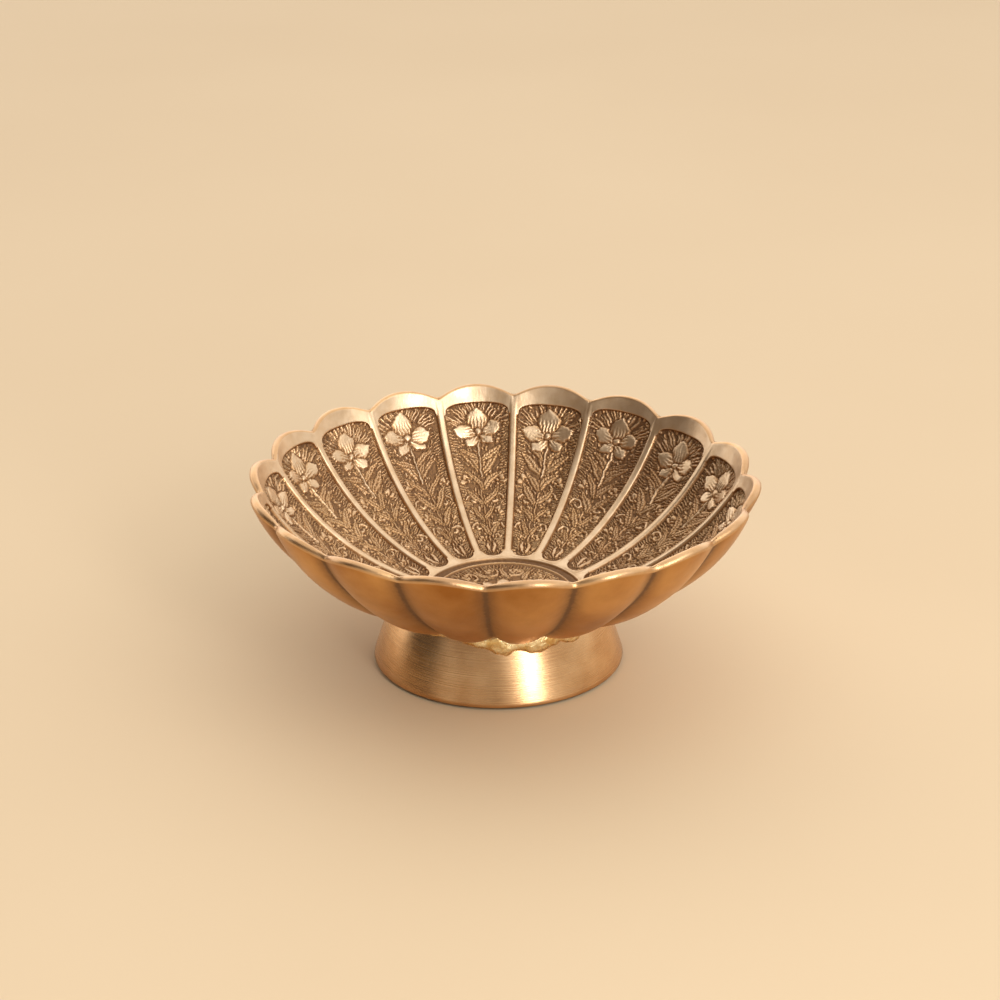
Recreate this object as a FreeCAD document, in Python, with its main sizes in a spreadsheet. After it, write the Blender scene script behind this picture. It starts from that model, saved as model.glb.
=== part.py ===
"""A footed lotus bowl in cast brass: an eighteen-petalled bowl, a turned hollow foot, and the braze
that joins them. Millimetres, +Z up, origin on the table under the middle of the bowl."""
import FreeCAD, Part
import math
import os
import re
import Sketcher

V = FreeCAD.Vector

SIZES = {
    # bowl: the middle line of a petal is a belly arc that runs into a steeper shoulder arc
    "petal_count": 18,
    "rim_radius": 75.0,
    "rim_height": 57.8,
    "belly_start": 12.2,
    "belly_bottom": 17.2,
    "belly_radius": 71.0,
    "belly_sweep": 44.0,
    "shoulder_radius": 55.5,
    "shoulder_sweep": 34.0,
    "wall": 2.4,
    "outer_crown": 24.5,
    "inner_crown": 27.0,
    "petal_half_width": 14.0,
    "rim_arch": 30.0,
    # engraved panels sunk between the ribs, and the round medallion in the floor
    "rib_width": 1.9,
    "panel_depth": 0.7,
    "rim_band": 4.4,
    "medallion_radius": 25.8,
    "medallion_ring": 2.2,
    "medallion_top": 20.8,
    "medallion_depth": 0.7,
    "bead_radius": 20.6,
    "bead_width": 0.8,
    "bead_height": 0.4,
    # foot: a turned ring with an upright lip and a swelling side
    "foot_base": 37.3,
    "foot_lip": 3.0,
    "foot_neck": 30.6,
    "foot_height": 18.7,
    "foot_wall": 2.2,
    "foot_swell": 45.0,
    "foot_round": 0.8,
    "foot_shift": 1.6,
    # braze: a narrow ring of filler round the neck
    "braze_reach": 1.7,
    "braze_skirt": 0.4,
    "braze_drop": 1.2,
    "braze_inner_rise": 1.3,
    "braze_outer_rise": 2.4,
}

PETAL_TURN = -4.2          # degrees from +X to the middle of the first petal
CLEAR = 100.0              # further out than any part of the bowl


def make_sheet(doc):
    """Put every driving dimension in the spreadsheet under its own name."""
    sheet = doc.addObject("Spreadsheet::Sheet", "sizes")
    for row, (alias, value) in enumerate(SIZES.items(), start=1):
        sheet.set(f"A{row}", alias)
        sheet.set(f"B{row}", str(value))
        sheet.setAlias(f"B{row}", alias)
    doc.recompute()
    return sheet


def formula(text):
    """Spell a formula of sheet names the way FreeCAD's expression engine reads it."""
    return re.sub(r"[a-z_]+", lambda word: f"sizes.{word[0]}" if word[0] in SIZES else word[0], text)


def value(sheet, text):
    """The number that a formula gives with the sheet's present sizes."""
    answer = sheet.evalExpression(formula(text))
    return float(getattr(answer, "Value", answer))


def new_body(doc, label):
    body = doc.addObject("PartDesign::Body", label)
    body.Label = label
    return body


def plane(body, role):
    """One of the body's own origin planes or axes, found by its role."""
    return next(item for item in body.Origin.OriginFeatures if item.Role == role)


def new_sketch(body, name, role, height="0"):
    """A sketch on an origin plane of its body, lifted along the plane's normal."""
    sketch = body.newObject("Sketcher::SketchObject", name)
    sketch.AttachmentSupport = (plane(body, role), "")
    sketch.MapMode = "FlatFace"
    if height != "0":
        sketch.setExpression("AttachmentOffset.Base.z", formula(height))
    return sketch


def fix_coordinate(sketch, kind, geometry, end, text, number):
    """Tie one coordinate of a sketch point to its formula; zero puts the point on the axis."""
    if abs(number) < 1e-9:
        axis = -2 if kind == "DistanceX" else -1
        sketch.addConstraint(Sketcher.Constraint("PointOnObject", geometry, end, axis))
        return
    index = sketch.addConstraint(Sketcher.Constraint(kind, -1, 1, geometry, end, number))
    sketch.setExpression(f"Constraints[{index}]", formula(text))


def outline(sheet, sketch, corners):
    """A closed outline. Each corner is (x, y) or (x, y, radius): formulas in the sheet's names.
    With a radius, the side that leaves the corner is an arc that turns left (or right if the
    radius starts with a minus)."""
    points = [V(value(sheet, corner[0]), value(sheet, corner[1]), 0) for corner in corners]
    count = len(corners)
    for index, corner in enumerate(corners):
        start = points[index]
        finish = points[(index + 1) % count]
        if len(corner) == 2:
            sketch.addGeometry(Part.LineSegment(start, finish))
            continue
        radius = value(sheet, corner[2])
        chord = finish - start
        side = 1.0 if radius > 0 else -1.0
        left = V(-chord.y, chord.x, 0).normalize() * side
        lift = math.sqrt(radius ** 2 - (chord.Length / 2) ** 2)
        centre = start + chord * 0.5 + left * lift
        crown = centre - left * abs(radius)
        sketch.addGeometry(Part.Arc(start, crown, finish))
    for index, corner in enumerate(corners):
        arc = len(corner) == 3
        following = (index + 1) % count
        here = end_of(sketch, index, points[index])
        there = end_of(sketch, following, points[following])
        back = end_of(sketch, index, points[following])
        sketch.addConstraint(Sketcher.Constraint("Coincident", index, back, following, there))
        fix_coordinate(sketch, "DistanceX", index, here, corner[0], points[index].x)
        fix_coordinate(sketch, "DistanceY", index, here, corner[1], points[index].y)
        if arc:
            size = corner[2].lstrip("-")
            bound = sketch.addConstraint(Sketcher.Constraint("Radius", index, abs(value(sheet, size))))
            sketch.setExpression(f"Constraints[{bound}]", formula(size))


def end_of(sketch, index, point):
    """Which end of a sketch edge (1 or 2) lies at a point."""
    return 1 if (sketch.getPoint(index, 1) - point).Length < 1e-6 else 2


def petal_spine(sheet, body, name):
    """The outside middle line of a petal, from under the floor to above the rim: two arcs that
    meet in one tangent."""
    sketch = new_sketch(body, name, "XZ_Plane")
    belly_centre = V(value(sheet, "belly_start"), value(sheet, "belly_bottom + belly_radius"), 0)
    sweep = math.radians(value(sheet, "belly_sweep"))
    belly_radius = value(sheet, "belly_radius")
    shoulder_radius = value(sheet, "shoulder_radius")
    inward = V(-math.sin(sweep), math.cos(sweep), 0)
    joint = belly_centre - inward * belly_radius
    shoulder_centre = joint + inward * shoulder_radius
    start_angle = -math.pi / 2
    joint_angle = start_angle + sweep
    top_angle = joint_angle + math.radians(value(sheet, "shoulder_sweep"))
    belly = Part.ArcOfCircle(Part.Circle(belly_centre, V(0, 0, 1), belly_radius), start_angle, joint_angle)
    shoulder = Part.ArcOfCircle(
        Part.Circle(shoulder_centre, V(0, 0, 1), shoulder_radius), joint_angle, top_angle)
    sketch.addGeometry(belly)
    sketch.addGeometry(shoulder)
    sketch.addConstraint(Sketcher.Constraint("Tangent", 0, 2, 1, 1))
    for index, text in ((0, "belly_radius"), (1, "shoulder_radius")):
        bound = sketch.addConstraint(Sketcher.Constraint("Radius", index, value(sheet, text)))
        sketch.setExpression(f"Constraints[{bound}]", formula(text))
    fix_coordinate(sketch, "DistanceX", 0, 1, "belly_start", belly_centre.x)
    fix_coordinate(sketch, "DistanceY", 0, 1, "belly_bottom", value(sheet, "belly_bottom"))
    fix_coordinate(sketch, "DistanceX", 0, 3, "belly_start", belly_centre.x)
    joint_x = "belly_start + belly_radius * sin(belly_sweep * 1deg)"
    fix_coordinate(sketch, "DistanceX", 0, 2, joint_x, joint.x)
    turn = "(belly_sweep + shoulder_sweep) * 1deg"
    top_x = (f"belly_start + (belly_radius - shoulder_radius) * sin(belly_sweep * 1deg)"
             f" + shoulder_radius * sin({turn})")
    fix_coordinate(sketch, "DistanceX", 1, 2, top_x, value(sheet, top_x))
    return sketch


def crown_height(base, crown, half_width):
    """Formula for the height of a crowned section's side corner above its lowest point."""
    return f"{base} + {crown} - sqrt(({crown}) ^ 2 - ({half_width}) ^ 2)"


def crowned_strip(sheet, body, name, lower, lower_crown, upper, upper_crown, half_width):
    """A strip swept along the petal's middle line. Its section is bounded by two arcs that curve
    up from the middle line, at heights lower and upper, and by two upright sides."""
    section = new_sketch(body, f"{name}_section", "YZ_Plane", "belly_start")
    lower_side = crown_height(lower, lower_crown, half_width)
    upper_side = crown_height(upper, upper_crown, half_width)
    corners = [
        (f"0 - {half_width}", lower_side, lower_crown),
        (half_width, lower_side),
        (half_width, upper_side, f"-({upper_crown})"),
        (f"0 - {half_width}", upper_side),
    ]
    outline(sheet, section, corners)
    spine = petal_spine(sheet, body, f"{name}_spine")
    body.Document.recompute()
    pipe = body.newObject("PartDesign::AdditivePipe", name)
    pipe.Profile = section
    pipe.Spine = (spine, [])
    pipe.Mode = "Frenet"
    body.Document.recompute()
    return pipe


def cut_through(body, name, sketch):
    """Cut a sketch right through the body, both ways."""
    before = body.Shape.Volume
    pocket = body.newObject("PartDesign::Pocket", name)
    pocket.Profile = sketch
    pocket.Type = "ThroughAll"
    pocket.SideType = "Symmetric"
    body.Document.recompute()
    if body.Shape.Volume >= before - 1e-6:
        raise RuntimeError(f"{name} cut nothing")
    return pocket


def trim_to_sector(sheet, body, name, margin):
    """Leave only the wedge of one petal, less a margin along each side."""
    half_turn = "tan(180deg / petal_count)"
    edge = f"({margin}) / cos(180deg / petal_count)"
    for side, sign in (("left", ""), ("right", "0 - ")):
        sketch = new_sketch(body, f"{name}_{side}", "XY_Plane")
        corners = [
            ("0", f"{sign}(0 - {edge})"),
            (f"{CLEAR}", f"{sign}({CLEAR} * {half_turn} - {edge})"),
            (f"{CLEAR}", f"{sign}({CLEAR})"),
            ("0", f"{sign}({CLEAR})"),
        ]
        outline(sheet, sketch, corners)
        body.Document.recompute()
        cut_through(body, f"{name}_{side}_cut", sketch)


def trim_to_arch(sheet, body, name, drop):
    """Round the top of a petal to an arch, a drop below the rim's highest point."""
    sketch = new_sketch(body, f"{name}_arch", "YZ_Plane")
    reach = "petal_half_width + 1"
    shoulder = f"rim_height - {drop} - rim_arch + sqrt(rim_arch ^ 2 - ({reach}) ^ 2)"
    corners = [
        (reach, shoulder, "rim_arch"),
        (f"0 - ({reach})", shoulder),
        (f"0 - ({reach})", "rim_height * 2"),
        (reach, "rim_height * 2"),
    ]
    outline(sheet, sketch, corners)
    body.Document.recompute()
    cut_through(body, f"{name}_arch_cut", sketch)


def ring_of_petals(body, name):
    """Repeat the whole body round the bowl's axis, once for each petal."""
    pattern = body.newObject("PartDesign::PolarPattern", name)
    pattern.TransformMode = "Whole shape"
    pattern.Axis = (plane(body, "Z_Axis"), [""])
    pattern.Angle = 360
    pattern.setExpression("Occurrences", formula("petal_count"))
    body.Tip = pattern
    body.Document.recompute()
    return pattern


def revolved(sheet, body, kind, name, corners):
    """Turn a closed outline in the XZ plane round the Z axis, adding or removing metal."""
    sketch = new_sketch(body, f"{name}_section", "XZ_Plane")
    outline(sheet, sketch, corners)
    body.Document.recompute()
    feature = body.newObject(f"PartDesign::{kind}", name)
    feature.Profile = sketch
    feature.ReferenceAxis = (plane(body, "Z_Axis"), [""])
    feature.Angle = 360
    body.Document.recompute()
    return feature


def make_panel_tool(doc, sheet):
    """The metal that the eighteen sunk panels take out of the inside of the petals."""
    body = new_body(doc, "panel_tool")
    crowned_strip(sheet, body, "panel", "belly_bottom + wall - panel_depth", "inner_crown + panel_depth",
                  "belly_bottom + wall + 3", "inner_crown - 3", "(petal_half_width - 1)")
    trim_to_sector(sheet, body, "panel_side", "rib_width / 2")
    trim_to_arch(sheet, body, "panel", "rim_band")
    inner_end = new_sketch(body, "panel_inner_end", "XY_Plane")
    corners = [
        ("0", f"0 - {CLEAR}"),
        ("medallion_radius", f"0 - {CLEAR}"),
        ("medallion_radius", f"{CLEAR}"),
        ("0", f"{CLEAR}"),
    ]
    outline(sheet, inner_end, corners)
    doc.recompute()
    cut_through(body, "panel_inner_end_cut", inner_end)
    return body


def make_bowl(doc, sheet):
    """The bowl casting: petals with sunk panels, a floor, and a medallion with a beaded ring."""
    tool = make_panel_tool(doc, sheet)
    body = new_body(doc, "bowl")
    crowned_strip(sheet, body, "petal", "belly_bottom", "outer_crown",
                  "belly_bottom + wall", "inner_crown", "petal_half_width")
    panels = body.newObject("PartDesign::Boolean", "sunk_panel")
    panels.Type = "Cut"
    panels.addObjects([tool])
    doc.recompute()
    trim_to_sector(sheet, body, "petal_side", "0")
    trim_to_arch(sheet, body, "petal", "0")
    ring_of_petals(body, "petals")
    floor = [
        ("0", "belly_bottom"),
        ("belly_start", "belly_bottom"),
        ("medallion_radius", "belly_bottom + wall - 0.3"),
        ("medallion_radius", "medallion_top"),
        ("0", "medallion_top"),
    ]
    revolved(sheet, body, "Revolution", "floor", floor)
    hollow = [
        ("0", "medallion_top - medallion_depth"),
        ("bead_radius - bead_width / 2", "medallion_top - medallion_depth"),
        ("bead_radius - bead_width / 2", "medallion_top - medallion_depth + bead_height"),
        ("bead_radius + bead_width / 2", "medallion_top - medallion_depth + bead_height"),
        ("bead_radius + bead_width / 2", "medallion_top - medallion_depth"),
        ("medallion_radius - medallion_ring", "medallion_top - medallion_depth"),
        ("medallion_radius - medallion_ring", "medallion_top"),
        ("medallion_radius", "medallion_top"),
        ("medallion_radius", "medallion_top * 1.2"),
        ("0", "medallion_top * 1.2"),
    ]
    revolved(sheet, body, "Groove", "medallion", hollow)
    body.Placement = FreeCAD.Placement(V(0, 0, 0), FreeCAD.Rotation(V(0, 0, 1), PETAL_TURN))
    return body


def make_foot(doc, sheet):
    """The foot: a hollow turned ring with an upright lip and a swelling side."""
    body = new_body(doc, "foot")
    section = [
        ("foot_base - foot_round", "0"),
        ("foot_base", "foot_round"),
        ("foot_base", "foot_lip", "foot_swell"),
        ("foot_neck", "foot_height"),
        ("foot_neck - foot_wall", "foot_height", "-(foot_swell - foot_wall)"),
        ("foot_base - foot_wall", "foot_lip"),
        ("foot_base - foot_wall", "0"),
    ]
    revolved(sheet, body, "Revolution", "turned_ring", section)
    body.setExpression("Placement.Base.x", formula("0 - foot_shift"))
    return body


def make_braze(doc, sheet, bowl, foot):
    """The braze: a ring of filler round the top of the foot, fitted to both castings."""
    body = new_body(doc, "filler_ring")
    section = [
        ("foot_neck - foot_wall", "foot_height"),
        ("foot_neck", "foot_height - braze_drop"),
        ("foot_neck + braze_skirt", "foot_height - braze_drop"),
        ("foot_neck + braze_reach", "foot_height + braze_outer_rise"),
        ("foot_neck - foot_wall", "foot_height + braze_inner_rise"),
    ]
    revolved(sheet, body, "Revolution", "filler", section)
    body.setExpression("Placement.Base.x", formula("0 - foot_shift"))
    doc.recompute()
    without_bowl = doc.addObject("Part::Cut", "filler_under_bowl")
    without_bowl.Base = body
    without_bowl.Tool = bowl
    braze = doc.addObject("Part::Cut", "braze_fillet")
    braze.Label = "braze_fillet"
    braze.Base = without_bowl
    braze.Tool = foot
    doc.recompute()
    return braze


def check(doc, parts):
    """Stop with a plain message if any object failed or any part isn't a sound solid."""
    for item in doc.Objects:
        if "Invalid" in item.State or "Error" in item.State:
            raise RuntimeError(f"{item.Name} failed: {item.State}")
    for item in parts:
        shape = item.Shape
        if shape.isNull() or not shape.isValid():
            raise RuntimeError(f"{item.Label} has no valid shape")
        box = shape.BoundBox
        print(item.Label, "solids", len(shape.Solids), "volume", round(shape.Volume, 1),
              "x", round(box.XMin, 2), round(box.XMax, 2), "y", round(box.YMin, 2), round(box.YMax, 2),
              "z", round(box.ZMin, 2), round(box.ZMax, 2))


def main():
    doc = FreeCAD.newDocument("lotus_bowl")
    sheet = make_sheet(doc)
    bowl = make_bowl(doc, sheet)
    foot = make_foot(doc, sheet)
    braze = make_braze(doc, sheet, bowl, foot)
    doc.recompute()
    parts = [bowl, foot, braze]
    check(doc, parts)
    os.makedirs("parts", exist_ok=True)
    for item in parts:
        item.Shape.exportStep(f"parts/{item.Label}.step")


main()
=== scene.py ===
"""Looks for the footed lotus bowl: the engraved casting, its turned foot and the braze between them.

Shapes are worked out in millimetres, in the frame's own axes, and go into Blender in metres.
"""
import math

import bpy
import numpy as np
from mathutils import Matrix, Vector


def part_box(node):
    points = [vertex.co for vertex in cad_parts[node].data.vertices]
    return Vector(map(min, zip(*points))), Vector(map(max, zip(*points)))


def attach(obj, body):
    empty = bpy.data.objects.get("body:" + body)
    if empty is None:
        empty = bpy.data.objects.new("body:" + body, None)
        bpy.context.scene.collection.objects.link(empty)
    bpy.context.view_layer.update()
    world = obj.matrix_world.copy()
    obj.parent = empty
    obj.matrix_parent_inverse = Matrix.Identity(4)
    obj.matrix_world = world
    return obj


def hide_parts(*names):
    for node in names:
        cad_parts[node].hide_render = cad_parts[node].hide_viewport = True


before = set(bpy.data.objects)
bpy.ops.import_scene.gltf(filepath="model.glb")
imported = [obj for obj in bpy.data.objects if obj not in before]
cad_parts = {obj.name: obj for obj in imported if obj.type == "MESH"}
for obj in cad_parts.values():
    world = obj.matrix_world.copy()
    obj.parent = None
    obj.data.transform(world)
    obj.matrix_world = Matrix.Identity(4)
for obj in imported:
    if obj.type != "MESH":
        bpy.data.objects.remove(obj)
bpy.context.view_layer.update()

MM = 0.001


def box_in_mm(node):
    low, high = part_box(node)
    return np.array(low) / MM, np.array(high) / MM


# ---------------------------------------------------------------- driving sizes, in millimetres
bowl_low, bowl_high = box_in_mm("bowl")
foot_low, foot_high = box_in_mm("foot")

PETALS = 18
SECTOR = 2 * math.pi / PETALS
PETAL_TURN = math.radians(-4.2)        # from +X to the middle of the first petal
RIM_HEIGHT = bowl_high[2]
BELLY_BOTTOM = bowl_low[2]
BELLY_START = 12.2                     # radius where the flat bottom turns up into the belly arc
BELLY_RADIUS = 71.0
BELLY_SWEEP = math.radians(44.0)
SHOULDER_RADIUS = 55.5
BELLY_LENGTH = BELLY_RADIUS * BELLY_SWEEP
WALL = 2.4
INNER_CROWN = 27.0                     # radius across a petal, inside
PILLOW = 4.6                           # how far a petal bulges outside, from groove to middle
GROOVE_ROUND = 1.2
RIDGE_ROUND = 1.1
RIM_SOFTNESS = 1.5                     # extra rounding of grooves and ridges at the rim
NOTCH_ROUND = 1.5                      # rounding of the rim where two petals meet
RIM_ARCH = 25.0                        # radius of the rim's arch over one petal
RIM_LEAN = math.radians(20.0)          # lean of the wall at the rim
TIP_HEIGHT = RIM_HEIGHT - WALL * math.sin(RIM_LEAN) + 0.8
RIM_SWELL = 0.3                        # the wall thickens a little towards the rim
RIM_ROUND_OUT = 1.25                   # rounding of the rim's outer and inner edge
RIM_ROUND_IN = 0.95

RIB_EDGE = [0.0, 0.28, 0.56, 0.84, 1.05, 1.27, 1.5]        # column places beside a rib's crest
RIB_FALL = [0.0, 0.0, 0.0, 0.0, 0.08, 0.6, 1.0]            # how far each has dropped into the panel
PANEL_COLUMNS = 81
PANEL_ROWS = 225
BAND_ROWS = 14                         # rows over the plain band under the rim
SKIRT_ROWS = 5                         # rows from a panel's foot to the medallion's ring
PANEL_DEPTH = 0.8
PANEL_START = 13.9                     # along the middle line, where the panels meet the medallion
PANEL_END = 73.0
EDGE_STEPS = [0.0, 0.2, 0.4, 0.6]      # rows over a panel's end wall
EDGE_FALL = [1.0, 0.6, 0.08, 0.0]
RIM_PLACE = 79.5                       # along the middle line, the rim at a petal's tip

RING_OUT = 12.8                        # along the middle line, where the medallion's ring starts
MEDALLION_EDGE = 23.25
MEDALLION_TOP = 20.75
MEDALLION_DEPTH = 0.65
CIRCLE_RADIUS = 20.6                   # the raised line round the medallion's field
CIRCLE_HEIGHT = 0.5

FOOT_BASE = (foot_high[0] - foot_low[0]) / 2
FOOT_SHIFT = (foot_high[0] + foot_low[0]) / 2
FOOT_HEIGHT = foot_high[2]
FOOT_NECK = 30.6
FOOT_WALL = 2.2

RELIEF_PITCH = 0.12                    # grid of the engraving's height map
TOP_RELIEF = 0.52
LINE_POINTS = 34                       # points along a leaf or petal of the engraving
CURL_POINTS = 46


# ---------------------------------------------------------------- the petals' surface
def middle_line(place):
    """Radius, height and slope of a petal's outside middle line, at a distance along it. Below
    zero it runs flat to the bowl's axis."""
    place = np.asarray(place, dtype=float)
    belly = np.clip(place, 0, BELLY_LENGTH) / BELLY_RADIUS
    extra = np.clip(place - BELLY_LENGTH, 0, None) / SHOULDER_RADIUS
    slope = belly + extra
    hub = BELLY_RADIUS - SHOULDER_RADIUS
    radius = BELLY_START + np.minimum(place, 0) + BELLY_RADIUS * np.sin(belly)
    height = BELLY_BOTTOM + BELLY_RADIUS * (1 - np.cos(belly))
    above = place > BELLY_LENGTH
    shoulder = BELLY_START + hub * math.sin(BELLY_SWEEP) + SHOULDER_RADIUS * np.sin(slope)
    radius = np.where(above, shoulder, radius)
    height = np.where(above, BELLY_BOTTOM + BELLY_RADIUS - hub * math.cos(BELLY_SWEEP)
                      - SHOULDER_RADIUS * np.cos(slope), height)
    return radius, height, slope


def sag(across, crown):
    """How far a crowned surface has risen from its middle line, at a distance across it."""
    return crown - np.sqrt(crown ** 2 - across ** 2)


def folded(across, half, rounding):
    """Distance across a petal, eased off near its sides so that the fold there is rounded."""
    return np.maximum(half - np.sqrt((half - np.abs(across)) ** 2 + rounding ** 2), 0)


def outer_lift(across, half):
    """Height of the outside over the middle line: each petal is pillowed, down to the flat bottom."""
    depth = PILLOW * (1 - np.exp(-half / 4.2)) * np.clip((half - 2.2) / 2.4, 0, 1) ** 1.5
    near_rim = np.clip((half - 10.5) / 2.0, 0, 1)
    rounding = np.minimum(GROOVE_ROUND + 0.4 * RIM_SOFTNESS * near_rim, 0.15 * half)
    share = folded(across, half, rounding) / half
    swell = RIM_SWELL * near_rim
    return depth * (1 - np.sqrt(1 - (0.93 * share) ** 2)) / (1 - math.sqrt(1 - 0.93 ** 2)) - swell


def inner_lift(across, half):
    """Height of the inside over the middle line; the ridge between two petals is rounded."""
    rounding = RIDGE_ROUND + RIM_SOFTNESS * np.clip((half - 11.0) / 1.5, 0, 1)
    return WALL + sag(folded(across, half, rounding), INNER_CROWN)


def half_sector(place, lift):
    """Half a petal's width at the groove or ridge beside it, for a surface given by its lift."""
    radius, _, slope = middle_line(place)
    half = radius * math.tan(SECTOR / 2)
    for _ in range(12):
        half = (radius - lift(half, half) * np.sin(slope)) * math.tan(SECTOR / 2)
    return half


def column_places(half):
    """Where each column of a petal lies across it. Columns beside a rib keep their distance from
    its crest, so that the rib's edges are clean lines."""
    edge = np.array(RIB_EDGE) * np.minimum(1, half[..., :1] / 3.0)
    left = -half[..., :len(RIB_EDGE)] + edge
    middle_share = np.linspace(-1, 1, PANEL_COLUMNS)[1:-1]
    span = half[..., len(RIB_EDGE):len(RIB_EDGE) + PANEL_COLUMNS - 2]
    reach = span - RIB_EDGE[-1] * np.minimum(1, half[..., :1] / 3.0)
    right = half[..., len(RIB_EDGE) + PANEL_COLUMNS - 2:] - edge[..., :0:-1]
    return np.concatenate([left, middle_share * reach, right], axis=-1)


COLUMN_SHARE = np.concatenate([
    np.full(len(RIB_EDGE), -1.0), np.linspace(-1, 1, PANEL_COLUMNS)[1:-1], np.full(len(RIB_EDGE) - 1, 1.0)])
COLUMN_FALL = np.concatenate([RIB_FALL, np.ones(PANEL_COLUMNS - 2), RIB_FALL[:0:-1]])
COLUMN_EDGE = np.concatenate([RIB_EDGE, np.full(PANEL_COLUMNS - 2, 9.0), RIB_EDGE[:0:-1]])
COLUMNS = len(COLUMN_SHARE)


def petal_points(place, lift, extra=0.0):
    """Points of one petal, in its own axes: x out, y across, z up. place has a row for each row of
    the grid and a column for each column; extra is added along the normal of the middle line."""
    half = half_sector(place, lift)
    across = column_places(half)
    rise = lift(across, half) + extra
    radius, height, slope = middle_line(place)
    x = radius - rise * np.sin(slope)
    z = height + rise * np.cos(slope)
    # the columns beside a ridge stay on the plane between two petals
    across = across * np.where(np.abs(COLUMN_EDGE) < 1e-9, x * math.tan(SECTOR / 2) / np.abs(across), 1.0)
    return np.stack([x, across, z], axis=-1)


# ---------------------------------------------------------------- hand-made unevenness
def wave(angle, seed, harmonics, first):
    """A smooth random value round the bowl, between about -1 and 1. Higher harmonics make
    shorter waves."""
    source = np.random.default_rng(seed)
    total = np.zeros_like(angle)
    for number in range(first, first + harmonics):
        total += source.normal() * np.cos(number * angle + source.uniform(0, 2 * math.pi))
    return total / math.sqrt(harmonics)


def uneven_turn(angle):
    """How far the petals' spacing strays from even: the maker's pattern was cut by hand."""
    return math.radians(0.6) * np.sin(angle) + math.radians(0.9) * np.cos(2 * (angle - math.radians(66)))


# ---------------------------------------------------------------- engraving
class Relief:
    """A height map of one engraved field: x across it, y along it, in millimetres."""

    def __init__(self, low, high, source):
        self.x = np.arange(low[0], high[0] + RELIEF_PITCH, RELIEF_PITCH)
        self.y = np.arange(low[1], high[1] + RELIEF_PITCH, RELIEF_PITCH)
        self.height = np.zeros((len(self.y), len(self.x)))
        self.waver = source.uniform(0, 2 * math.pi, 8)

    def near(self, spine, width):
        """The part of the map round a line, with each point's nearest place on the line."""
        reach = np.max(width) + 0.5
        columns = np.nonzero((self.x > spine[:, 0].min() - reach) & (self.x < spine[:, 0].max() + reach))[0]
        rows = np.nonzero((self.y > spine[:, 1].min() - reach) & (self.y < spine[:, 1].max() + reach))[0]
        if len(columns) == 0 or len(rows) == 0:
            return None
        window = np.s_[rows[0]:rows[-1] + 1, columns[0]:columns[-1] + 1]
        x, y = np.meshgrid(self.x[window[1]], self.y[window[0]])
        offset = np.stack([x, y], -1)[:, :, None, :] - spine
        distance = np.hypot(offset[..., 0], offset[..., 1])
        nearest = np.argmin(distance, axis=2)
        picked = np.take_along_axis(distance, nearest[..., None], 2)[..., 0]
        along = np.gradient(spine, axis=0)
        along /= np.maximum(np.linalg.norm(along, axis=1, keepdims=True), 1e-9)
        here = np.take_along_axis(offset, nearest[..., None, None], 2)[:, :, 0, :]
        side = along[nearest][..., 0] * here[..., 1] - along[nearest][..., 1] * here[..., 0]
        return window, nearest / (len(spine) - 1), picked, side, width[nearest]

    def blade(self, spine, width, top=TOP_RELIEF, veins=None, moat=0.3):
        """A raised shape round a line, as wide as width says, with chased lines and a moat."""
        found = self.near(spine, width)
        if found is None:
            return
        window, share, distance, side, reach = found
        inside = reach - distance
        body = top * np.clip(1 - (distance / np.maximum(reach, 1e-6)) ** 2, 0, 1) ** 0.35
        length = np.linalg.norm(np.diff(spine, axis=0), axis=1).sum()
        if veins == "leaf":
            body -= 0.34 * np.exp(-(side / 0.2) ** 2) * (share < 0.85)
            slant = (share * length - np.abs(side) * 0.9) / 0.95
            body -= 0.26 * (0.5 + 0.5 * np.cos(2 * math.pi * slant)) ** 2 * np.clip(inside / 0.25, 0, 1)
        if veins == "petal":
            lines = (0.5 + 0.5 * np.cos(2 * math.pi * side / 1.05)) ** 2
            body -= 0.4 * lines * np.clip(1.5 - 2.4 * share, 0, 1) * np.clip(inside / 0.3, 0, 1)
        patch = self.height[window]
        bank = np.clip(1 + inside / 0.36, 0, 1)
        patch[:] = np.where(inside > 0, body, patch * (1 - bank) + np.minimum(patch, -moat) * bank)

    def boss(self, centre, radius, top=0.55):
        """A round raised dot in a cut ring."""
        spine = np.array([centre, (centre[0], centre[1] + 0.01)], dtype=float)
        self.blade(spine, np.full(2, radius), top, moat=0.42)

    def read(self, x, y):
        """The height at any place, between the map's own points. The drawing wavers a little."""
        one, two, three, four, five, six, seven, eight = self.waver
        shift_x = 0.26 * np.sin(0.75 * y + one) * np.sin(0.6 * x + two) + 0.11 * np.sin(2.1 * y + three + x)
        shift_y = 0.26 * np.sin(0.8 * x + four) * np.sin(0.5 * y + five) + 0.11 * np.sin(2.3 * x + six - y)
        x = x + shift_x
        y = y + shift_y
        x = x + 0.07 * np.sin(5.1 * y + seven)
        y = y + 0.07 * np.sin(4.7 * x + eight)
        column = np.clip((x - self.x[0]) / RELIEF_PITCH, 0, len(self.x) - 1.001)
        row = np.clip((y - self.y[0]) / RELIEF_PITCH, 0, len(self.y) - 1.001)
        left, low = column.astype(int), row.astype(int)
        part_x, part_y = column - left, row - low
        grid = self.height
        lower = grid[low, left] * (1 - part_x) + grid[low, left + 1] * part_x
        upper = grid[low + 1, left] * (1 - part_x) + grid[low + 1, left + 1] * part_x
        return lower * (1 - part_y) + upper * part_y


def bent_line(start, finish, bow, count=LINE_POINTS):
    """A line from start to finish that bows to its left by a share of its length."""
    start, finish = np.array(start, float), np.array(finish, float)
    chord = finish - start
    middle = (start + finish) / 2 + bow * np.array([-chord[1], chord[0]])
    share = np.linspace(0, 1, count)[:, None]
    return (1 - share) ** 2 * start + 2 * share * (1 - share) * middle + share ** 2 * finish


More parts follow.
